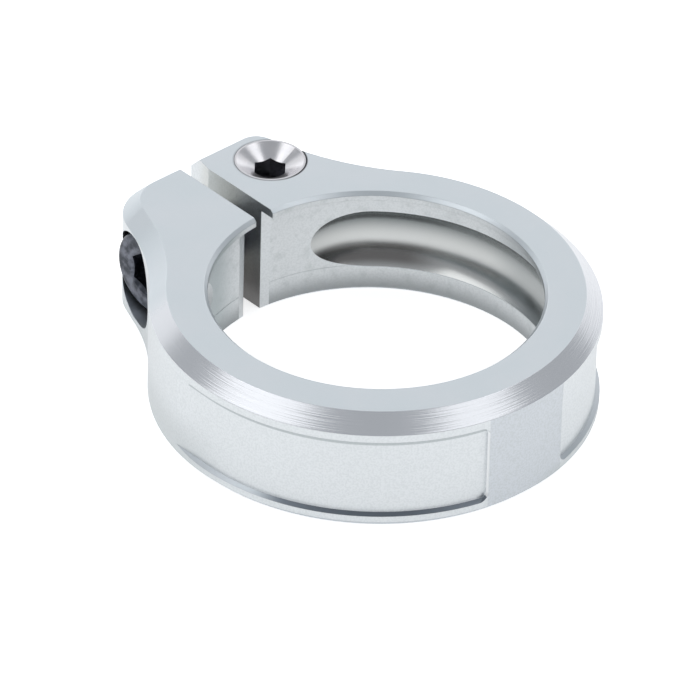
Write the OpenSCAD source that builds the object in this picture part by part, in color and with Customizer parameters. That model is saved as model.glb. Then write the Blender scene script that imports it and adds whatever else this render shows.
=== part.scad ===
// Seatpost clamp: a split collar with two ears, closed by one cross bolt
// that threads into a barrel nut. Millimetres, +Z up. The origin is on the
// tube axis at the bottom face; the ears point along +Y, the bolt lies
// along X with its head on the -X ear and the nut in the +X ear.

/* [Collar] */
// Diameter of the bore that grips the frame tube
bore_d = 35.0; // [34.6:0.1:35.2]
// Outer diameter of the ring
ring_d = 43.6; // [43.0:0.1:45.0]
// Height of the collar from bottom face to top face
collar_h = 12.4; // [12.0:0.1:13.5]
// Chamfer along the top of the outer outline
top_chamfer = 1.65; // [1.0:0.05:1.75]
// Chamfer along the bottom of the outer outline
bottom_chamfer = 0.7; // [0.2:0.05:0.9]
// Chamfer at the mouth of the bore, at the bottom
bore_chamfer = 0.3; // [0.1:0.05:0.5]

/* [Stop lip] */
// Diameter of the opening through the stop lip, for the seatpost
lip_d = 32.3; // [31.8:0.1:33.0]
// Thickness of the stop lip
lip_t = 0.9; // [0.7:0.05:1.4]
// Chamfer at the top inner edge of the stop lip
lip_chamfer = 0.35; // [0.1:0.05:0.5]

/* [Slot] */
// Width of the slot between the ears
slot_w = 2.15; // [1.6:0.05:2.8]
// Width of the bevel where the slot opens into the bore, below the lip
slot_bevel_w = 1.0; // [0.4:0.1:1.4]
// Distance from the tube axis to the line where that bevel starts
slot_bevel_y = 17.8; // [17.7:0.05:18.2]
// Length of the lead-in at the outer end of the slot, nut ear only
slot_lead_l = 3.4; // [1.0:0.1:4.0]
// Depth of that lead-in at the end face of the ear
slot_lead_w = 0.75; // [0.2:0.05:1.0]

/* [Ears] */
// Distance from the tube axis to the end faces of the ears
ear_end_y = 29.0; // [28.4:0.1:30.0]
// Distance from the slot centre to the outer wall of the head ear at the bolt
head_ear_w = 10.65; // [10.4:0.05:11.2]
// Lean of the outer wall of the head ear, in degrees
head_ear_lean = 21.0; // [18:0.5:23]
// Corner radius of the head ear
head_ear_corner = 5.6; // [4:0.1:6]
// Radius of the flare from the head ear to the ring
head_ear_flare = 22.0; // [18:0.5:26]
// Distance from the slot centre to the outer wall of the nut ear at the bolt
nut_ear_w = 11.6; // [11.4:0.05:12.2]
// Lean of the outer wall of the nut ear, in degrees
nut_ear_lean = 15.5; // [14:0.5:18]
// Corner radius of the nut ear
nut_ear_corner = 3.6; // [3:0.1:4.5]
// Radius of the flare from the nut ear to the ring
nut_ear_flare = 25.5; // [22:0.5:28]

/* [Outer pockets] */
// Depth of the two shallow pockets round the outside
pocket_depth = 0.45; // [0.2:0.05:0.6]
// Height of the lower edge of the pockets
pocket_bottom_z = 1.35; // [1.2:0.05:2.0]
// Height of the upper edge of the pockets
pocket_top_z = 9.95; // [9.0:0.05:10.0]
// Half width, in degrees, of the plain land opposite the ears
land_half_angle = 12.3; // [8:0.1:16]
// Corner radius of the pockets beside the land
pocket_corner = 1.0; // [0.5:0.1:1.5]

/* [Inner groove] */
// Depth of the relief groove inside the bore
groove_depth = 1.3; // [0.8:0.1:1.6]
// Width of the relief groove at the bore wall
groove_w = 6.6; // [5.0:0.1:7.0]
// Height of the middle of the relief groove
groove_z = 6.0; // [5.5:0.1:6.2]
// Radial relief of the bore wall between its two grip bands
grip_relief = 0.02; // [0.01:0.01:0.10]
// Angle from the ears to each tip of the groove, in degrees
groove_tip_angle = 21.0; // [18:0.5:30]
// Angle over which the groove runs out at each end, in degrees
groove_runout = 21.0; // [16:0.5:24]

/* [Bolt] */
// Distance from the tube axis to the bolt axis
bolt_y = 22.9; // [22.8:0.05:23.2]
// Height of the bolt axis
bolt_z = 6.0; // [5.9:0.05:6.2]
// Nominal diameter of the bolt
bolt_d = 5.0; // [4.8:0.1:5.2]
// Length of the bolt below its head
bolt_l = 15.0; // [13.5:0.5:15.5]
// Diameter of the bolt head
head_d = 8.6; // [8.0:0.1:8.8]
// Height of the bolt head
head_h = 5.0; // [4.5:0.1:5.2]
// Edge radius of the bolt head
head_edge = 0.5; // [0.2:0.05:0.8]
// Hex key size of the bolt head, across flats
key_af = 4.0; // [3:0.5:5]
// Depth of the hex socket
key_depth = 2.8; // [2.0:0.1:3.0]
// Distance from the slot centre to the outer face of the head
head_face_x = 9.3; // [9.0:0.05:9.6]
// Radial clearance round the bolt in the ears
bolt_gap = 0.2; // [0.1:0.05:0.4]
// Radial clearance round the head in its counterbore
head_gap = 0.4; // [0.2:0.05:0.45]
// Gap between the head and its seat, with the bolt just slack
seat_gap = 0.1; // [0.05:0.05:0.3]

/* [Barrel nut] */
// Diameter of the barrel nut
nut_d = 7.0; // [6.8:0.1:7.2]
// Distance from the slot centre to the nut axis
nut_x = 6.7; // [6.5:0.05:6.9]
// Radial clearance of the nut in its hole
nut_gap = 0.05; // [0.03:0.01:0.10]
// Width of the flat rim round the dish in the top of the nut
nut_rim = 0.2; // [0.1:0.05:0.4]
// Included angle of that dish, in degrees
dish_angle = 118; // [90:1:130]
// Size of the hex hole in the dish, across flats
nut_key_af = 3.0; // [2.5:0.5:3.0]
// Distance the nut stops short of the bottom face
nut_bottom_gap = 0.2; // [0.0:0.05:0.4]
// Radial clearance between the bolt and the cross hole of the nut
thread_gap = 0.05; // [0.03:0.01:0.10]

/* [Hidden] */
$fn = 120;
eps = 0.5;
ring_r = ring_d / 2;
bore_r = bore_d / 2;
lip_r = lip_d / 2;
lip_z = collar_h - lip_t;
floor_x = head_face_x - head_h - seat_gap;
counterbore_r = head_d / 2 + head_gap;
nut_r = nut_d / 2;
dish_r = nut_r - nut_rim;
dish_depth = dish_r / tan(dish_angle / 2);
// Bounds of the pocket edges, where they meet the floor of the pocket
pocket_low_slope = 0.25;
pocket_high_slope = 0.2;
// Form of the groove: profile radius, radius of the round ends, path of the
// centre of those ends
groove_r = (pow(groove_w / 2, 2) + pow(groove_depth, 2)) / (2 * groove_depth);
groove_path_r = groove_depth * (2 * bore_r + groove_depth)
    / (2 * bore_r * (1 - cos(groove_runout)) + 2 * groove_depth);
groove_end_r = bore_r + groove_depth - groove_path_r;
groove_start = groove_tip_angle + groove_runout;
// Angle of the hex hole about the nut axis
nut_key_turn = -13;
// Turn of the hex socket about the bolt axis
key_turn = 6;
// Depth by which the flares bite into the walls that they run into
flare_bite = 0.01;

// Section of the collar's rim, out to distance d, with both edge chamfers
module rim_section(d, inner) {
    polygon([
        [inner, 0],
        [d - bottom_chamfer, 0],
        [d, bottom_chamfer],
        [d, collar_h - top_chamfer],
        [d - top_chamfer, collar_h],
        [inner, collar_h]
    ]);
}

// Upright round post with the rim section at radius r
module rim_post(r) {
    rotate_extrude() rim_section(r, 0);
}

// Straight bar with the rim section at distance d from the Z axis, along +Y
// from y0 to y1 and going inward by depth
module rim_bar(d, depth, y0, y1) {
    translate([0, y1, 0]) rotate([90, 0, 0])
        linear_extrude(height = y1 - y0) rim_section(d, d - depth);
}

// Solid outside a concave flare of radius r: the negative of the rim section
module flare_cutter(r) {
    rotate_extrude() polygon([
        [0, -eps],
        [r + bottom_chamfer + eps, -eps],
        [r, bottom_chamfer],
        [r, collar_h - top_chamfer],
        [r + top_chamfer + eps, collar_h + eps],
        [0, collar_h + eps]
    ]);
}

// One ear on the +X side: end wall, leaning outer wall, rounded corner and
// the flare that runs out to the ring. The flare bites flare_bite into the
// wall and the ring, so that the surfaces cross instead of only touching.
module ear(w, lean, corner, flare) {
    wall = w * cos(lean) + bolt_y * sin(lean);
    corner_y = ear_end_y - corner;
    corner_x = (wall - corner - corner_y * sin(lean)) / cos(lean);
    corner_s = corner_y * cos(lean) - corner_x * sin(lean);
    flare_n = wall + flare - flare_bite;
    flare_s = sqrt(pow(ring_r + flare - flare_bite, 2) - pow(flare_n, 2));
    flare_x = flare_n * cos(lean) - flare_s * sin(lean);
    flare_y = flare_n * sin(lean) + flare_s * cos(lean);
    foot = wall - 7;
    difference() {
        union() {
            // end wall
            rotate([0, 0, 90]) rim_bar(ear_end_y, 12, -corner_x, 0.01);
            // corner
            translate([corner_x, corner_y, 0]) rim_post(corner);
            // outer wall
            rotate([0, 0, lean]) rim_bar(wall, 7, flare_s - 1.5, corner_s);
            // web between the wall and the ring
            linear_extrude(height = collar_h) polygon([
                [0, 0],
                [flare_x, flare_y],
                [foot * cos(lean) - flare_s * sin(lean),
                 foot * sin(lean) + flare_s * cos(lean)],
                [0, 17]
            ]);
        }
        translate([flare_x, flare_y, 0]) flare_cutter(flare);
    }
}

// Outer form of the collar before anything is cut from it
module collar_blank() {
    rim_post(ring_r);
    ear(nut_ear_w, nut_ear_lean, nut_ear_corner, nut_ear_flare);
    mirror([1, 0, 0])
        ear(head_ear_w, head_ear_lean, head_ear_corner, head_ear_flare);
}

// Stepped bore: two grip bands with the relieved wall between them, stop lip
// and the chamfers at both mouths
module bore_cut() {
    band_low = groove_z - groove_w / 2 + 0.2;
    band_high = groove_z + groove_w / 2 - 0.2;
    rotate_extrude() polygon([
        [0, -eps],
        [bore_r + bore_chamfer + eps, -eps],
        [bore_r, bore_chamfer],
        [bore_r, band_low],
        [bore_r + grip_relief, band_low],
        [bore_r + grip_relief, band_high],
        [bore_r, band_high],
        [bore_r, lip_z],
        [lip_r, lip_z],
        [lip_r, collar_h - lip_chamfer],
        [lip_r + lip_chamfer + eps, collar_h + eps],
        [0, collar_h + eps]
    ]);
}

// Section of the relief groove whose deepest line is at distance d
module groove_section(d) {
    intersection() {
        translate([d - groove_r, 0]) circle(r = groove_r);
        translate([d - groove_depth - 0.3, -groove_r])
            square([groove_depth + 1, 2 * groove_r]);
    }
}

// Relief groove inside the bore, with its two long round ends
module groove_cut() {
    translate([0, 0, groove_z]) {
        rotate([0, 0, 90 + groove_start])
            rotate_extrude(angle = 360 - 2 * groove_start)
                groove_section(bore_r + groove_depth);
        for (side = [0, 1]) mirror([side, 0, 0])
            rotate([0, 0, 90 - groove_start])
                translate([groove_path_r, 0, 0])
                    rotate_extrude(angle = 60)
                        groove_section(groove_end_r);
    }
}

// Slot between the ears, with the bevels at its inner and outer ends
module slot_cut() {
    half = slot_w / 2;
    translate([-half, 0, -eps])
        cube([slot_w, ear_end_y + 1, collar_h + 2 * eps]);
    // bevel into the bore, below the lip
    bevel_y = sqrt(pow(bore_r, 2) - pow(half + slot_bevel_w, 2));
    translate([0, 0, -eps]) linear_extrude(height = lip_z + eps) polygon([
        [-half - slot_bevel_w, bevel_y],
        [-half - slot_bevel_w, bevel_y - 1],
        [half + slot_bevel_w, bevel_y - 1],
        [half + slot_bevel_w, bevel_y],
        [half, slot_bevel_y],
        [-half, slot_bevel_y]
    ]);
    // lead-in at the outer end, nut ear only
    translate([0, 0, -eps]) linear_extrude(height = collar_h + 2 * eps)
        polygon([
            [0, ear_end_y - slot_lead_l],
            [half, ear_end_y - slot_lead_l],
            [half + slot_lead_w * (1 + 1 / slot_lead_l), ear_end_y + 1],
            [0, ear_end_y + 1]
        ]);
}

// Section of an outer pocket, out from its floor at distance d
module pocket_section(d) {
    polygon([
        [d, pocket_bottom_z + pocket_low_slope],
        [d, pocket_top_z - pocket_high_slope],
        [d + 2 * pocket_depth, pocket_top_z + pocket_high_slope],
        [d + 2 * pocket_depth, pocket_bottom_z - pocket_low_slope]
    ]);
}

// Block that fills one square corner of a pocket down to a round one
module pocket_corner_fill(z, up) {
    rotate([0, 0, -90 + land_half_angle]) translate([0, 0, z])
        difference() {
            translate([ring_r - 2, -1, up > 0 ? -1 : -pocket_corner])
                cube([4, pocket_corner + 1, pocket_corner + 1]);
            translate([ring_r - 3, pocket_corner, up * pocket_corner])
                rotate([0, 90, 0]) cylinder(r = pocket_corner, h = 6);
        }
}

// Shallow pocket round the +X half of the outside: round corners beside the
// land, and a straight run-out towards the ear
module pocket_cut() {
    floor_r = ring_r - pocket_depth;
    difference() {
        union() {
            mirror([0, 1, 0]) rotate_extrude(angle = 90 - land_half_angle)
                pocket_section(floor_r);
            translate([0, 7, 0]) rotate([90, 0, 0])
                linear_extrude(height = 7) pocket_section(floor_r);
        }
        pocket_corner_fill(pocket_bottom_z, 1);
        pocket_corner_fill(pocket_top_z, -1);
    }
}

// Holes for the bolt, its head and the barrel nut
module bolt_and_nut_holes() {
    translate([0, bolt_y, bolt_z]) rotate([0, 90, 0])
        translate([0, 0, -20])
            cylinder(r = bolt_d / 2 + bolt_gap, h = 40);
    translate([-20, bolt_y, bolt_z]) rotate([0, 90, 0])
        cylinder(r = counterbore_r, h = 20 - floor_x);
    translate([nut_x, bolt_y, -eps])
        cylinder(r = nut_r + nut_gap, h = collar_h + 2 * eps);
}

// Split collar, one machined piece
module collar() {
    color([0.80, 0.82, 0.84]) difference() {
        collar_blank();
        bore_cut();
        groove_cut();
        slot_cut();
        pocket_cut();
        mirror([1, 0, 0]) pocket_cut();
        bolt_and_nut_holes();
    }
}

// Socket-head bolt along X, its thread kept as a plain cylinder
module clamp_bolt() {
    color([0.16, 0.17, 0.19])
        translate([-head_face_x, bolt_y, bolt_z]) rotate([0, 90, 0])
            difference() {
                union() {
                    rotate_extrude() polygon([
                        [0, 0],
                        [head_d / 2 - head_edge, 0],
                        [head_d / 2 - 0.3 * head_edge, 0.3 * head_edge],
                        [head_d / 2, head_edge],
                        [head_d / 2, head_h],
                        [bolt_d / 2, head_h],
                        [bolt_d / 2, head_h + bolt_l - 0.5],
                        [bolt_d / 2 - 0.5, head_h + bolt_l],
                        [0, head_h + bolt_l]
                    ]);
                }
                rotate([0, 0, key_turn]) translate([0, 0, -eps])
                    cylinder(r = key_af / 2 / cos(30), h = key_depth + eps,
                        $fn = 6);
                translate([0, 0, key_depth - 0.01])
                    cylinder(r1 = key_af / 2 - 0.1, r2 = 0.2, h = 0.9);
            }
}

// Barrel nut: upright pin with a dished top, a hex hole and a cross hole
module barrel_nut() {
    color([0.74, 0.74, 0.76]) difference() {
        translate([nut_x, bolt_y, 0]) rotate_extrude() polygon([
            [0, nut_bottom_gap],
            [nut_r - 0.3, nut_bottom_gap],
            [nut_r, nut_bottom_gap + 0.3],
            [nut_r, collar_h],
            [dish_r, collar_h],
            [0, collar_h - dish_depth]
        ]);
        translate([nut_x, bolt_y, bolt_z]) rotate([0, 0, nut_key_turn])
            cylinder(r = nut_key_af / 2 / cos(30), h = collar_h, $fn = 6);
        translate([nut_x - 5, bolt_y, bolt_z]) rotate([0, 90, 0])
            cylinder(r = bolt_d / 2 + thread_gap, h = 10);
    }
}

collar();
clamp_bolt();
barrel_nut();
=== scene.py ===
"""Seatpost clamp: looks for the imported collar, cross bolt and barrel nut.

Everything is in metres, in the row frame: +Z up along the tube axis, the ears
towards +Y, the bolt along X with its head on the -X side.
"""

from __future__ import annotations

import logging
import math
from dataclasses import dataclass, field
from enum import Enum
from typing import Any

import bpy
import numpy as np
from mathutils import Matrix, Vector

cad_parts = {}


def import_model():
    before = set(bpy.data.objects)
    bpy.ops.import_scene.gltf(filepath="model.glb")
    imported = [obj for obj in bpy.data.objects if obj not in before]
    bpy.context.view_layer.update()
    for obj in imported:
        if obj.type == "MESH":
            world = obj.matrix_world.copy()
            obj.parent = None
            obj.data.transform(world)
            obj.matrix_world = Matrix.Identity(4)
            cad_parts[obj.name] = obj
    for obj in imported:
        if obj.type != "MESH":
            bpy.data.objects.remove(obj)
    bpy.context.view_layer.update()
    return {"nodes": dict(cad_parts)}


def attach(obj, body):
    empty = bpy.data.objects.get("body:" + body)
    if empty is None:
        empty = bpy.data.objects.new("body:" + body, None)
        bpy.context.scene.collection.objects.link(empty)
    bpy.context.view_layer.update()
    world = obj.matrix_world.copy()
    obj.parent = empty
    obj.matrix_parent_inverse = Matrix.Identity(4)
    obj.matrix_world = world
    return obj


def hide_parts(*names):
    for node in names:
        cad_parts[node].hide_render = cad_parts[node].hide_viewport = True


LOG = logging.getLogger("seatpost_clamp")
MM = 0.001

# Direction to the right as the camera sees it, in X and Y.
RIGHT = (0.733, -0.680)

Colour = tuple[float, float, float]


class Body(str, Enum):
    """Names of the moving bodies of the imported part."""

    COLLAR = "collar"
    NUT = "nut"
    BOLT = "bolt"


class Value:
    """A number socket that can be used in Python expressions."""

    def __init__(self, graph: "Graph", socket: bpy.types.NodeSocket) -> None:
        """Wraps one output socket.

        Args:
            graph: the material's node graph.
            socket: the output socket to wrap.
        """
        self.graph = graph
        self.socket = socket

    def _math(self, operation: str, *terms: "Value | float") -> "Value":
        """Adds a Math node of the given operation.

        Args:
            operation: Blender's name of the operation.
            terms: its inputs, values or plain numbers.

        Returns:
            The node's result.
        """
        node = self.graph.add(
            "ShaderNodeMath", {"operation": operation}, dict(enumerate(terms))
        )
        return Value(self.graph, node.outputs[0])

    def __add__(self, other: "Value | float") -> "Value":
        """self + other."""
        return self._math("ADD", self, other)

    def __radd__(self, other: float) -> "Value":
        """other + self."""
        return self._math("ADD", other, self)

    def __sub__(self, other: "Value | float") -> "Value":
        """self - other."""
        return self._math("SUBTRACT", self, other)

    def __rsub__(self, other: float) -> "Value":
        """other - self."""
        return self._math("SUBTRACT", other, self)

    def __mul__(self, other: "Value | float") -> "Value":
        """self * other."""
        return self._math("MULTIPLY", self, other)

    def __rmul__(self, other: float) -> "Value":
        """other * self."""
        return self._math("MULTIPLY", other, self)

    def __truediv__(self, other: "Value | float") -> "Value":
        """self / other."""
        return self._math("DIVIDE", self, other)

    def __gt__(self, other: "Value | float") -> "Value":
        """1 where self is larger than other, else 0."""
        return self._math("GREATER_THAN", self, other)

    def __lt__(self, other: "Value | float") -> "Value":
        """1 where self is smaller than other, else 0."""
        return self._math("LESS_THAN", self, other)

    def __abs__(self) -> "Value":
        """Size of self, without its sign."""
        return self._math("ABSOLUTE", self)

    def root(self) -> "Value":
        """Square root of self."""
        return self._math("SQRT", self)

    def step(self, low: float, high: float) -> "Value":
        """Smooth step from 0 at low to 1 at high.

        Args:
            low: input that gives 0.
            high: input that gives 1; it may be the smaller of the two.

        Returns:
            The stepped value.
        """
        flip = low > high
        node = self.graph.add(
            "ShaderNodeMapRange",
            {"interpolation_type": "SMOOTHSTEP"},
            {0: self, 1: min(low, high), 2: max(low, high), 3: 0.0, 4: 1.0},
        )
        out = Value(self.graph, node.outputs[0])
        return 1.0 - out if flip else out

    def band(self, low: float, high: float, soft: float) -> "Value":
        """1 between low and high, falling to 0 over soft on both sides.

        Args:
            low: lower end of the band.
            high: upper end of the band.
            soft: width of each flank.

        Returns:
            The band's mask.
        """
        return self.step(low - soft, low) * self.step(high + soft, high)


class Graph:
    """The node graph of one material."""

    def __init__(self, name: str) -> None:
        """Makes an empty material.

        Args:
            name: the material's name.
        """
        self.material = bpy.data.materials.new(name)
        self.material.use_nodes = True
        self.tree = self.material.node_tree
        self.tree.nodes.clear()
        self._coords: bpy.types.Node | None = None

    def add(
        self,
        kind: str,
        settings: dict[str, Any] | None = None,
        inputs: dict[Any, Any] | None = None,
    ) -> bpy.types.Node:
        """Adds a node, sets it up and links it.

        Args:
            kind: Blender's type name of the node.
            settings: attributes of the node, such as its operation.
            inputs: value or link of each input, by name or number.

        Returns:
            The new node.
        """
        node = self.tree.nodes.new(kind)
        for key, value in (settings or {}).items():
            setattr(node, key, value)
        for key, value in (inputs or {}).items():
            if isinstance(value, Value):
                value = value.socket
            if isinstance(value, bpy.types.NodeSocket):
                self.tree.links.new(value, node.inputs[key])
            else:
                node.inputs[key].default_value = value
        return node

    def position(self) -> bpy.types.NodeSocket:
        """Object coordinates, which are the row frame in metres."""
        if self._coords is None:
            self._coords = self.add("ShaderNodeTexCoord")
        return self._coords.outputs["Object"]

    def axes(self) -> tuple[Value, Value, Value]:
        """Object coordinates as three numbers, in millimetres."""
        split = self.add("ShaderNodeSeparateXYZ", None, {0: self.position()})
        return tuple(Value(self, s) * (1 / MM) for s in split.outputs)

    def facing(self) -> bpy.types.NodeSocket:
        """The surface's normal."""
        return self.add("ShaderNodeNewGeometry").outputs["Normal"]

    def noise(self, per_mm: float, detail: float = 2.0, **more: Any) -> Value:
        """Cloudy noise about 0.5.

        Args:
            per_mm: number of blotches in a millimetre.
            detail: octaves of finer noise.
            more: further inputs of the noise node, by name.

        Returns:
            The noise as a value from 0 to 1.
        """
        names = {k.capitalize(): v for k, v in more.items()}
        if "Vector" not in names and "W" not in names:
            names["Vector"] = self.position()
        settings = {"noise_dimensions": "1D" if "W" in names else "3D"}
        scale = per_mm if "W" in names else per_mm / MM
        names.update({"Scale": scale, "Detail": detail})
        return Value(self, self.add("ShaderNodeTexNoise", settings, names).outputs[0])

    def mix(self, mask: Value | float, low: Any, high: Any) -> bpy.types.NodeSocket:
        """Mixes two colours.

        Args:
            mask: 0 for low, 1 for high.
            low: first colour or link.
            high: second colour or link.

        Returns:
            The mixed colour.
        """
        node = self.add("ShaderNodeMix", {"data_type": "RGBA"}, {"Factor": mask})
        for key, colour in (("A", low), ("B", high)):
            socket = self.typed(node.inputs, "RGBA", key)
            if isinstance(colour, bpy.types.NodeSocket):
                self.tree.links.new(colour, socket)
            else:
                socket.default_value = (*colour, 1.0)
        return self.typed(node.outputs, "RGBA")

    @staticmethod
    def typed(sockets: Any, kind: str, name: str = "Result") -> bpy.types.NodeSocket:
        """The socket of that kind and name, among a Mix node's many."""
        return next(s for s in sockets if s.type == kind and s.name == name)

    def vector(self, operation: str, *terms: Any) -> bpy.types.NodeSocket:
        """Adds a Vector Math node.

        Args:
            operation: Blender's name of the operation.
            terms: its inputs; for SCALE the second is the factor.

        Returns:
            The node's vector.
        """
        keys = {0: terms[0]}
        if operation == "SCALE":
            keys["Scale"] = terms[1]
        elif len(terms) > 1:
            keys[1] = terms[1]
        node = self.add("ShaderNodeVectorMath", {"operation": operation}, keys)
        return node.outputs["Vector"]

    def mix_vectors(self, mask: Value, low: Any, high: Any) -> bpy.types.NodeSocket:
        """Mixes two vectors.

        Args:
            mask: 0 for low, 1 for high.
            low: link to the first vector.
            high: link to the second vector.

        Returns:
            The mixed vector.
        """
        node = self.add("ShaderNodeMix", {"data_type": "VECTOR"}, {"Factor": mask})
        for key, vector in (("A", low), ("B", high)):
            self.tree.links.new(vector, self.typed(node.inputs, "VECTOR", key))
        return self.typed(node.outputs, "VECTOR")

    def bump(self, height: Value, depth: float, normal: Any = None) -> Any:
        """Turns a height into a normal.

        Args:
            height: height from 0 to 1.
            depth: real depth in metres that 1 stands for.
            normal: normal that the bump is laid on.

        Returns:
            The bumped normal.
        """
        inputs = {"Strength": 1.0, "Distance": depth, "Height": height}
        if normal is not None:
            inputs["Normal"] = normal
        return self.add("ShaderNodeBump", None, inputs).outputs[0]

    def soft_edges(self, radius: float) -> bpy.types.NodeSocket:
        """Normal of the surface with its sharp edges broken.

        Args:
            radius: radius of the broken edge, in metres.

        Returns:
            The normal.
        """
        node = self.add("ShaderNodeBevel", {"samples": 8}, {"Radius": radius})
        return node.outputs[0]

    def metal(self, colour: Any, roughness: Any, normal: Any) -> bpy.types.Material:
        """Closes the graph with a metal surface.

        Args:
            colour: link to the base colour.
            roughness: roughness, or its value.
            normal: link to the normal.

        Returns:
            The finished material.
        """
        shader = self.add(
            "ShaderNodeBsdfPrincipled",
            None,
            {
                "Base Color": colour,
                "Roughness": roughness,
                "Metallic": 1.0,
                "Normal": normal,
            },
        )
        out = self.add("ShaderNodeOutputMaterial")
        self.tree.links.new(shader.outputs[0], out.inputs[0])
        return self.material


@dataclass(frozen=True)
class AnodisedAluminium:
    """Clear-anodised collar: blasted walls, turned top chamfer, bright groove.

    Lengths are in millimetres.
    """

    name: str = "anodised_collar"
    blasted: Colour = (0.645, 0.69, 0.72)
    wall: Colour = (0.785, 0.81, 0.825)
    turned: Colour = (0.74, 0.75, 0.78)
    polished: Colour = (0.70, 0.71, 0.70)
    land: Colour = (0.66, 0.69, 0.73)
    cloud: Colour = (0.665, 0.70, 0.73)
    speck: Colour = (0.58, 0.61, 0.62)
    end_wall_light: Colour = (0.94, 0.96, 0.97)
    under_edge_shade: Colour = (0.34, 0.38, 0.39)
    flank: Colour = (0.50, 0.53, 0.53)
    ledge_shade: Colour = (0.10, 0.12, 0.15)
    brown_shade: Colour = (0.15, 0.135, 0.13)
    slot_glint: Colour = (0.60, 0.58, 0.50)
    gap_shade: Colour = (0.03, 0.03, 0.035)
    groove_top_shade: Colour = (0.13, 0.16, 0.17)
    groove_end_shade: Colour = (0.30, 0.33, 0.34)
    mottle: Colour = (0.48, 0.52, 0.52)
    bore_far_shade: Colour = (0.42, 0.48, 0.49)
    bore_mouth: Colour = (0.30, 0.32, 0.33)
    bore_end: Colour = (0.34, 0.37, 0.38)
    height: float = 12.4
    chamfer: float = 1.65
    bore_r: float = 17.5
    ring_inner_r: float = 19.0
    groove_r: float = 19.2
    groove_low: float = 2.6
    groove_top: float = 9.4
    skin: float = 0.04
    floor_r: float = 21.36
    pocket_low: float = 1.35
    pocket_top: float = 9.95
    land_y: float = -20.8
    land_half: float = 4.7
    slot_y: float = 17.6
    slot_half: float = 1.95
    seam_height: float = 0.6
    hole_r: float = 3.60
    grain_depth: float = 0.006
    roughness: float = 0.36
    lean_fine: float = 0.24
    lean_broad: float = 0.16
    swing: float = 0.20
    nut: tuple[float, float] = (6.7, 22.9)
    edge: float = 0.10

    def material(self) -> bpy.types.Material:
        """Builds the collar's material.

        Returns:
            The material, with its zones found from place and facing.
        """
        g = Graph(self.name)
        x, y, z = g.axes()
        radius = (x * x + y * y).root()
        right = x * RIGHT[0] + y * RIGHT[1]
        facing = g.facing()
        split = g.add("ShaderNodeSeparateXYZ", None, {0: facing})
        across, along, up = (Value(g, socket) for socket in split.outputs)
        outward = (across * x + along * y) / radius
        upright = abs(up) < 0.5
        low = self.height - self.chamfer

        # Zones, told apart by place in millimetres and by facing.
        sloped = up.band(0.45, 0.85, 0.08) * (z > low - 0.08)
        sloped = sloped * (radius > self.ring_inner_r)
        turned = sloped * (y / radius).step(0.66, 0.50)
        wall_r = self.bore_r + self.skin
        groove = radius.band(wall_r, self.groove_r, 0.02)
        groove = groove * z.band(self.groove_low, self.groove_top, 0.05)
        groove = groove * (radius < self.bore_r + 2) * (y < 16.9)
        tip = groove * (x < 0.0) * (y > 15.0)
        groove = groove * (1.0 - tip)
        inner = (radius < wall_r) * upright
        slot = (abs(x) < self.slot_half) * (y > self.slot_y) * (abs(across) > 0.7)
        land = (y < self.land_y) * (radius > 21.6) * (up < 0.4)
        land = land * (abs(x) < self.land_half)
        floor = radius.band(21.0, 21.5, 0.05) * (abs(up) < 0.3)
        step = radius.band(self.floor_r, 21.79, 0.02) * upright * (abs(outward) < 0.7)
        step = step * (y < 0.0)
        ledge_shade = radius.band(21.2, 21.85, 0.05) * up.band(0.55, 0.98, 0.05)
        ledge_shade = ledge_shade * z.band(self.pocket_low - 0.12, self.pocket_low + 0.42, 0.08)

        colour = self.tones(g, upright, land)
        colour = g.mix(turned, colour, self.turned)
        # Painted light: the pocket's end wall is coloured near white.
        colour = g.mix(step, colour, self.end_wall_light)
        # Painted shade under the pocket's upper edge and on the shelf that faces down.
        under = floor * z.band(self.pocket_top - 0.55, self.pocket_top + 0.2, 0.14)
        shelf_shade = radius.band(21.3, 21.82, 0.02) * (up < -0.3) * (z > 9.3)
        colour = g.mix((under + shelf_shade) * 0.6, colour, self.under_edge_shade)
        # Painted shade low on the walls at the far left and right as the camera sees
        # them.
        flank = right.step(-13.0, -19.0) * z.step(6.5, 2.0)
        flank = flank + right.step(14.0, 19.0) * z.step(2.0, 1.0)
        colour = g.mix(upright * flank * 0.40, colour, self.flank)
        # Painted shade on the pocket's lower ledge, deepest on the side facing the
        # camera.
        near = right.band(-8.0, 9.5, 4.0) * (y < 0.0)
        colour = g.mix(ledge_shade * (0.30 + near * 0.55), colour, self.ledge_shade)
        colour = self.groove_tones(g, colour, groove, z, right)
        colour = self.bore_tones(g, colour, inner, x, y, z, right)
        # Painted shade low in the slot, and a painted highlight band further along it.
        colour = g.mix(slot * z.step(6.5, 1.5) * 0.8, colour, self.brown_shade)
        colour = g.mix(slot * y.band(22.0, 26.0, 2.0) * 0.3, colour, self.slot_glint)
        # Painted shade in the gap round the nut's hole.
        colour = g.mix(self.nut_gap_shade(x, y, up), colour, self.gap_shade)

        grain = g.noise(7.0, 2.0)
        rough = self.roughness + (grain - 0.5) * 0.12
        rough = rough + land * 0.08 - turned * 0.12 - groove * 0.16 - inner * 0.02

        # Turning marks: the normal leans along and round the slope by amounts
        # that change only with height, so each ring of the chamfer is one streak.
        tangent = g.vector("CROSS_PRODUCT", (0.0, 0.0, 1.0), facing)
        tangent = g.vector("NORMALIZE", tangent)
        slope = g.vector("CROSS_PRODUCT", facing, tangent)
        streaked = turned * right.step(-21.0, -14.0)
        fine = g.noise(24.0, 1.0, w=z) - 0.5
        broad = g.noise(5.0, 1.0, w=z + 3.0) - 0.5
        lean = (fine * self.lean_fine + broad * self.lean_broad) * streaked
        swing = (g.noise(14.0, 2.0, w=z + 9.0) - 0.5) * self.swing * streaked
        edges = g.soft_edges(self.edge * MM)
        radial = g.add("ShaderNodeCombineXYZ", None, {0: x / radius, 1: y / radius})
        radial = radial.outputs[0]
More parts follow.
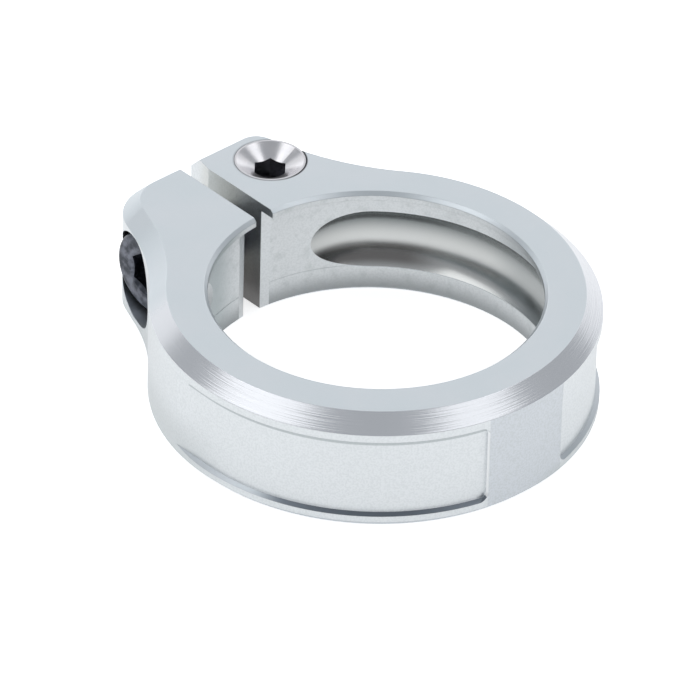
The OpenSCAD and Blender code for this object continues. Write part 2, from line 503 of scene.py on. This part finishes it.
        # The edges of the bore's relief and the groove's end on the side of the
        # bolt's head are shaded as plain bore wall, facing the axis.
        seam = (radius < wall_r) * (abs(x) > 2.5) * (radius > 17.3)
        below = z.band(self.groove_low, self.groove_low + self.seam_height, 0.1)
        above = z.band(self.groove_top - self.seam_height, self.groove_top, 0.1)
        seam = seam * (below + above)
        inwards = g.vector("SCALE", radial, -1.0)
        edges = g.mix_vectors(seam + tip, edges, inwards)
        leaned = g.vector("ADD", edges, g.vector("SCALE", slope, lean))
        leaned = g.vector("ADD", leaned, g.vector("SCALE", tangent, swing))
        leaned = g.vector("ADD", leaned, g.vector("SCALE", radial, step * 2.2))
        leaned = g.vector("NORMALIZE", leaned)
        height = grain * (1.0 - turned) * (1.0 - groove * 0.9)
        normal = g.bump(height, self.grain_depth * MM, leaned)
        return g.metal(colour, rough, normal)

    def tones(self, g: Graph, upright: Value, land: Value) -> bpy.types.NodeSocket:
        """Blasted colour: wide clouds everywhere and fine grain on the walls.

        Args:
            g: the material's graph.
            upright: mask of the upright walls.
            land: mask of the plain land between the pockets.

        Returns:
            The colour.
        """
        cloud = g.noise(0.16, 3.0).step(0.3, 0.7)
        colour = g.mix(cloud, self.blasted, self.cloud)
        colour = g.mix(upright, colour, self.wall)
        colour = g.mix(land * 0.8, colour, self.land)
        speck = g.noise(5.0, 2.0).step(0.38, 0.66)
        grainy = upright * speck * (0.30 + land * 0.25)
        return g.mix(grainy, colour, self.speck)

    def groove_tones(
        self, g: Graph, colour: Any, groove: Value, z: Value, right: Value
    ) -> bpy.types.NodeSocket:
        """Polished groove, with painted shade under its upper edge, a painted dark
        brown band low down and painted shade at its right end.

        Args:
            g: the material's graph.
            colour: colour so far.
            groove: mask of the groove.
            z: height in mm.
            right: place to the right as the camera sees it, in mm.

        Returns:
            The colour.
        """
        colour = g.mix(groove, colour, self.polished)
        # Painted shade under the upper edge, a painted dark band low down and painted
        # shade at the right end.
        colour = g.mix(groove * z.step(5.6, 8.9) * 0.9, colour, self.groove_top_shade)
        brown_shade = z.band(3.5, 4.3, 1.2) * (0.25 + right.step(7.5, 2.5) * 0.6)
        colour = g.mix(groove * brown_shade, colour, self.brown_shade)
        return g.mix(groove * right.step(10.5, 14.5) * 0.4, colour, self.groove_end_shade)

    def bore_tones(
        self,
        g: Graph,
        colour: Any,
        inner: Value,
        x: Value,
        y: Value,
        z: Value,
        right: Value,
    ) -> bpy.types.NodeSocket:
        """Bore wall: mottled, with painted shade behind the lip at the far left, and
        darker at its mouth and at the far right.

        Args:
            g: the material's graph.
            colour: colour so far.
            inner: mask of the bore wall.
            x: place along X in mm.
            y: place along Y in mm.
            z: height in mm.
            right: place to the right as the camera sees it, in mm.

        Returns:
            The colour.
        """
        shaded = inner * x.step(-2.0, -6.0) * (y > 0.0)
        mottle = g.noise(0.9, 3.0).step(0.50, 0.72)
        colour = g.mix(inner * mottle * 0.30, colour, self.mottle)
        # Painted shade behind the lip, on the side of the bolt's head.
        colour = g.mix(shaded * 0.7, colour, self.bore_far_shade)
        colour = g.mix(inner * z.step(2.8, 0.2) * 0.8, colour, self.bore_mouth)
        end = inner * right.step(10.0, 14.5) * (z > 9.0)
        return g.mix(end * 0.6, colour, self.bore_end)

    def nut_gap_shade(self, x: Value, y: Value, up: Value) -> Value:
        """Painted shade: a thin dark line round the nut's hole, deepest on its right.

        Args:
            x: place along X in mm.
            y: place along Y in mm.
            up: height of the surface's normal.

        Returns:
            The line's mask.
        """
        dx, dy = x - self.nut[0], y - self.nut[1]
        away = (dx * dx + dy * dy).root()
        side = (dx * RIGHT[0] + dy * RIGHT[1]).step(0.5, 3.2)
        line = away.step(self.hole_r + 0.16, self.hole_r) * (up > 0.9)
        return line * (0.25 + side * 0.75)


@dataclass(frozen=True)
class BlackOxide:
    """Blackened steel of the bolt, mottled where the oxide is thin."""

    name: str = "black_bolt"
    dark: Colour = (0.055, 0.060, 0.072)
    worn: Colour = (0.19, 0.20, 0.235)
    edge: float = 0.08
    grain_depth: float = 0.006

    def material(self) -> bpy.types.Material:
        """Builds the bolt's material.

        Returns:
            The material.
        """
        g = Graph(self.name)
        cloud = g.noise(1.1, 4.0)
        grain = g.noise(9.0, 2.0)
        colour = g.mix(cloud.step(0.35, 0.68), self.dark, self.worn)
        rough = 0.34 + (cloud - 0.5) * 0.25
        normal = g.bump(grain, self.grain_depth * MM, g.soft_edges(self.edge * MM))
        return g.metal(colour, rough, normal)


@dataclass(frozen=True)
class TurnedSteel:
    """Bright turned steel of the barrel nut."""

    name: str = "steel_nut"
    bright: Colour = (0.69, 0.67, 0.68)
    dull: Colour = (0.62, 0.62, 0.65)
    centre: tuple[float, float] = (6.7, 22.9)

    def material(self) -> bpy.types.Material:
        """Builds the nut's material.

        Returns:
            The material, with turning marks round the nut's axis.
        """
        g = Graph(self.name)
        x, y, _ = g.axes()
        dx, dy = x - self.centre[0], y - self.centre[1]
        radius = (dx * dx + dy * dy).root()
        facing = g.facing()
        outward = g.add(
            "ShaderNodeCombineXYZ", None, {0: dx / radius, 1: dy / radius, 2: 0.0}
        ).outputs[0]
        marks = g.noise(30.0, 1.0, w=radius) - 0.5
        lean = g.vector("SCALE", outward, marks * 0.20)
        normal = g.vector("NORMALIZE", g.vector("ADD", facing, lean))
        rough = 0.20 + g.noise(2.0) * 0.06
        colour = g.mix(g.noise(0.8), self.bright, self.dull)
        return g.metal(colour, rough, normal)


def grid_faces(rows: int, columns: int) -> np.ndarray:
    """Quads between neighbouring rows of a grid that closes round its columns.

    Quad (i, j) joins points (i, j), (i, j+1), (i+1, j+1) and (i+1, j), with
    j+1 taken modulo the number of columns.

    Args:
        rows: number of rows of points.
        columns: number of points in each row.

    Returns:
        Array of point numbers, four to a face.
    """
    i, j = np.meshgrid(np.arange(rows - 1), np.arange(columns), indexing="ij")
    k = (j + 1) % columns
    quads = [i * columns + j, i * columns + k, (i + 1) * columns + k]
    return np.stack([*quads, (i + 1) * columns + j], axis=-1).reshape(-1, 4)


def make_piece(
    name: str, points: np.ndarray, faces: list[list[int]], sharp: float = 0.5
) -> bpy.types.Object:
    """Puts points and faces into a new object at the origin.

    Args:
        name: the piece's name.
        points: place of each point, in metres.
        faces: point numbers of each face.
        sharp: angle in radians past which an edge is shaded sharp.

    Returns:
        The new object.
    """
    mesh = bpy.data.meshes.new(name)
    mesh.from_pydata(points.tolist(), [], faces)
    mesh.validate()
    mesh.update()
    mesh.polygons.foreach_set("use_smooth", np.ones(len(mesh.polygons), bool))
    piece = bpy.data.objects.new(name, mesh)
    bpy.context.scene.collection.objects.link(piece)
    mesh.set_sharp_from_angle(angle=sharp)
    return piece


def hexagon(angle: np.ndarray, across_flats: float, turn: float) -> np.ndarray:
    """Radius of a hexagon's outline at each angle.

    Half the width across flats, over the cosine of the angle from the middle
    of the nearest flat.

    Args:
        angle: angles round the axis, in radians.
        across_flats: width across flats.
        turn: angle of a corner, in radians.

    Returns:
        The radii.
    """
    off = np.mod(angle - turn, math.pi / 3) - math.pi / 6
    return across_flats / 2 / np.cos(off)


@dataclass
class ClampBolt:
    """M5 socket-head bolt along X: head, socket and thread."""

    axis_y: float = 22.9
    axis_z: float = 6.0
    face_x: float = -9.3
    head_d: float = 8.6
    head_h: float = 5.0
    edge: float = 0.5
    key: float = 4.0
    key_depth: float = 2.8
    key_turn: float = math.radians(6)
    shank_d: float = 5.0
    length: float = 15.0
    pitch: float = 0.8
    thread_depth: float = 0.43
    wave_top: float = 1.35
    wave_slope: float = 3.1
    relief: float = 0.12
    around: int = 96
    thread_around: int = 60
    steps_per_turn: int = 14
    finish: BlackOxide = field(default_factory=BlackOxide)

    def to_frame(self, along: np.ndarray, r: np.ndarray, a: np.ndarray) -> np.ndarray:
        """Points from bolt coordinates: x is the face plus the distance along
        the bolt; y and z are the axis plus r times the sine and cosine of a.

        Args:
            along: distance from the head's face.
            r: distance from the axis.
            a: angle about the axis.

        Returns:
            Points in metres, one row each.
        """
        x = self.face_x + along + 0 * r
        y = self.axis_y + r * np.sin(a)
        z = self.axis_z + r * np.cos(a)
        return np.stack([x, y, z], axis=-1).reshape(-1, 3) * MM

    def head(self) -> bpy.types.Object:
        """The head: a profile turned about X whose inner rows are hexagons.

        Going out from the socket's floor: a shallow cone, the hexagon wall, a
        turned lead-in, the face, a quarter-round edge, the side and the
        underside down to the shank.

        Returns:
            The head's piece.
        """
        a = np.linspace(0, 2 * math.pi, self.around, endpoint=False)
        hexa = hexagon(a, self.key, self.key_turn)
        lead = self.key / 2 / math.cos(math.pi / 6) + self.relief
        lead_in = np.clip((lead - hexa) * 0.7, 0.0, None)
        q = np.linspace(0, math.pi / 2, 7)
        rim = self.head_d / 2 - self.edge
        rounded = np.stack([rim + self.edge * np.sin(q), self.edge * (1 - np.cos(q))])
        one = np.ones_like(a)
        rows = [
            (0.05 * one, (self.key_depth + 0.9) * one),
            ((self.key / 2 - 0.1) * one, self.key_depth * one),
            (hexa, self.key_depth * one),
            (hexa, 0.5 * self.key_depth * one),
            (hexa, lead_in),
            (np.maximum(hexa, lead), 0.0 * one),
            ((lead + 0.2) * one, 0.0 * one),
        ]
        rows += [(r * one, d * one) for r, d in rounded.T]
        bottom = self.head_h
        rows += [
            (self.head_d / 2 * one, (bottom - self.relief) * one),
            ((self.head_d / 2 - self.relief) * one, bottom * one),
            (self.shank_d / 2 * one, bottom * one),
        ]
        r = np.array([row[0] for row in rows])
        d = np.array([row[1] for row in rows])
        points = self.to_frame(d, r, a[None, :])
        faces = grid_faces(len(rows), self.around).tolist()
        faces.append(list(range(self.around))[::-1])
        last = (len(rows) - 1) * self.around
        faces.append(list(range(last, last + self.around)))
        return make_piece("bolt_head", points, faces, 0.45)

    def thread(self) -> bpy.types.Object:
        """The threaded shank: its radius is a trapezoid wave of the distance
        along the bolt over the pitch, less the angle over a full turn, and it
        fades to a plain shank at the head and to a cone at the tip.

        Returns:
            The thread's piece.
        """
        steps = int(self.length / self.pitch * self.steps_per_turn)
        count = self.thread_around
        along = np.linspace(0.0, self.length, steps)[:, None]
        a = np.linspace(0, 2 * math.pi, count, endpoint=False)[None, :]
        phase = np.mod(along / self.pitch - a / (2 * math.pi), 1.0)
        off = np.abs(phase - 0.5)
        wave = np.clip(self.wave_top - self.wave_slope * off, 0.0, 1.0)
        crest = self.shank_d / 2 - 0.02
        start = np.clip((along - 1.2) / 0.8, 0.0, 1.0)
        r = crest - self.thread_depth * wave * start
        tip = crest - 0.5 + (self.length - along)
        r = np.minimum(r, tip)
        points = self.to_frame(along + self.head_h, r, a)
        faces = grid_faces(steps, count).tolist()
        faces.append(list(range(count))[::-1])
        last = (steps - 1) * count
        faces.append(list(range(last, last + count)))
        return make_piece("bolt_thread", points, faces, 0.6)

    def build(self) -> None:
        """Makes the bolt's pieces, dresses them and hides its CAD node."""
        material = self.finish.material()
        for piece in (self.head(), self.thread()):
            piece.data.materials.append(material)
            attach(piece, Body.BOLT.value)
            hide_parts("clamp_bolt")
            LOG.info("%s: %d faces", piece.name, len(piece.data.polygons))


@dataclass
class DressedNode:
    """A CAD node that keeps its mesh and gets a finish."""

    node: str
    finish: AnodisedAluminium | TurnedSteel

    def build(self, nodes: dict[str, bpy.types.Object]) -> None:
        """Gives the node its material.

        Args:
            nodes: the frame's CAD nodes by name.
        """
        piece = nodes[self.node]
        material = self.finish.material()
        piece.data.materials.clear()
        piece.data.materials.append(material)
        LOG.info("%s: %d faces", piece.name, len(piece.data.polygons))


@dataclass(frozen=True)
class Softbox:
    """A flat lamp placed by bearing from the camera, looking at the part."""

    name: str
    bearing: float
    elevation: float
    distance: float
    width: float
    height: float
    glow: float

    def power(self) -> float:
        """Lamp power in watts: glow times four times the lamp's area."""
        return self.glow * 4.0 * self.width * self.height


@dataclass
class Studio:
    """Camera, lamps, world and floor."""

    elevation: float = 0.618552549
    roll: float = 0.0269654
    distance: float = 0.8
    lens: float = 434.688
    turn: float = math.radians(42.875)
    target: tuple[float, float, float] = (-2.36283, -10.37044, 12.43712)
    world: Colour = (0.47, 0.49, 0.51)
    table: Colour = (0.86, 0.86, 0.86)
    table_half: float = 1.5
    mirror_glow: float = 0.40
    camera_glow: float = 0.70
    softboxes: tuple[Softbox, ...] = (
        Softbox("left_wall", -66, 46, 0.6, 0.41, 0.34, 0.66),
        Softbox("right_wall", 60, 47, 0.6, 0.32, 0.28, 0.60),
        Softbox("back_wall", 180, 30, 0.8, 0.95, 0.70, 0.36),
        Softbox("back_left", -143, 13, 0.8, 0.72, 0.60, 0.42),
        Softbox("back_right", 147, 12, 0.8, 0.62, 0.60, 0.36),
        Softbox("high_left", -102, 60, 0.6, 0.24, 0.24, 0.9),
        Softbox("high_right", 102, 60, 0.6, 0.24, 0.24, 0.9),
    )

    def to_frame(self, v: tuple[float, float, float]) -> Vector:
        """Turns a camera-aligned vector about Z into the row frame.

        Args:
            v: vector to the right, away from the camera and up.

        Returns:
            The vector in X, Y and Z.
        """
        x, y, z = v
        c, s = math.cos(self.turn), math.sin(self.turn)
        return Vector((x * c + y * s, -x * s + y * c, z))

    def camera(self) -> None:
        """Places the camera of the photograph: it circles the target at its
        elevation and is rolled about its own axis."""
        target = self.to_frame(self.target) * MM
        back = self.to_frame((0.0, -math.cos(self.elevation), math.sin(self.elevation)))
        forward = -back
        right = forward.cross(Vector((0, 0, 1))).normalized()
        up = right.cross(forward)
        c, s = math.cos(self.roll), math.sin(self.roll)
        right2, up2 = right * c + up * s, -right * s + up * c
        data = bpy.data.cameras.new("photo_camera")
        data.sensor_width = 36.0
        data.sensor_fit = "HORIZONTAL"
        data.lens = self.lens
        data.clip_start, data.clip_end = 0.01, 20.0
        cam = bpy.data.objects.new("photo_camera", data)
        bpy.context.scene.collection.objects.link(cam)
        turn = Matrix((right2, up2, back)).transposed().to_4x4()
        cam.matrix_world = Matrix.Translation(target + back * self.distance) @ turn
        bpy.context.scene.camera = cam

    def bearing_to(self, bearing: float, elevation: float) -> Vector:
        """Unit vector towards a place in the studio.

        Args:
            bearing: degrees from the camera's side, to its right.
            elevation: degrees above the table.

        Returns:
            The vector in the row frame.
        """
        b, e = math.radians(bearing), math.radians(elevation)
        flat = (math.sin(b) * math.cos(e), -math.cos(b) * math.cos(e), math.sin(e))
        return self.to_frame(flat)

    def lamps(self) -> None:
        """Hangs the softboxes, each turned to the part."""
        for box in self.softboxes:
            data = bpy.data.lights.new(box.name, "AREA")
            data.shape = "RECTANGLE"
            data.size, data.size_y = box.width, box.height
            data.energy = box.power()
            lamp = bpy.data.objects.new(box.name, data)
            bpy.context.scene.collection.objects.link(lamp)
            away = self.bearing_to(box.bearing, box.elevation)
            lamp.location = away * box.distance
            lamp.rotation_mode = "QUATERNION"
            lamp.rotation_quaternion = away.to_track_quat("Z", "Y")

    def surroundings(self) -> None:
        """An even grey room."""
        world = bpy.data.worlds.new("room")
        world.use_nodes = True
        sky = world.node_tree.nodes["Background"]
        sky.inputs["Color"].default_value = (*self.world, 1.0)
        sky.inputs["Strength"].default_value = 1.0
        bpy.context.scene.world = world

    def floor(self) -> None:
        """A white table top that shows white to the camera and to mirrors,
        less the part's shadow."""
        g = Graph("white_table")
        path = g.add("ShaderNodeLightPath").outputs
        mirrored = Value(g, path["Is Glossy Ray"])
        mirrored = mirrored + Value(g, path["Is Transmission Ray"])
        matt = g.add("ShaderNodeBsdfDiffuse", None, {"Color": (*self.table, 1.0)})
        last = matt
        direct = path["Is Camera Ray"]
        glows = ((self.mirror_glow, mirrored), (self.camera_glow, direct))
        for strength, seen in glows:
            glow = g.add("ShaderNodeEmission", None, {"Strength": strength})
            both = g.add("ShaderNodeAddShader")
            g.tree.links.new(matt.outputs[0], both.inputs[0])
            g.tree.links.new(glow.outputs[0], both.inputs[1])
            pick = g.add("ShaderNodeMixShader", None, {0: seen})
            g.tree.links.new(last.outputs[0], pick.inputs[1])
            g.tree.links.new(both.outputs[0], pick.inputs[2])
            last = pick
        out = g.add("ShaderNodeOutputMaterial")
        g.tree.links.new(last.outputs[0], out.inputs[0])
        corners = np.array([[-1, -1, 0], [1, -1, 0], [1, 1, 0], [-1, 1, 0]], float)
        table = make_piece("white_table", corners * self.table_half, [[0, 1, 2, 3]])
        table.data.materials.append(g.material)

    def build(self) -> None:
        """Sets up the whole studio."""
        scene = bpy.context.scene
        scene.view_settings.view_transform = "Standard"
        self.camera()
        self.lamps()
        self.surroundings()
        self.floor()


def corners(box: tuple[Vector, Vector]) -> list[list[float]]:
    """A box's two corners as plain lists."""
    return [list(map(float, c)) for c in box]


def main() -> None:
    """Builds the studio, then the collar, the nut and the bolt."""
    logging.basicConfig(level=logging.INFO, format="%(name)s: %(message)s")
    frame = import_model()
    Studio().build()
    DressedNode("collar", AnodisedAluminium()).build(frame["nodes"])
    DressedNode("barrel_nut", TurnedSteel()).build(frame["nodes"])
    ClampBolt().build()


if __name__ == "__main__":
    main()
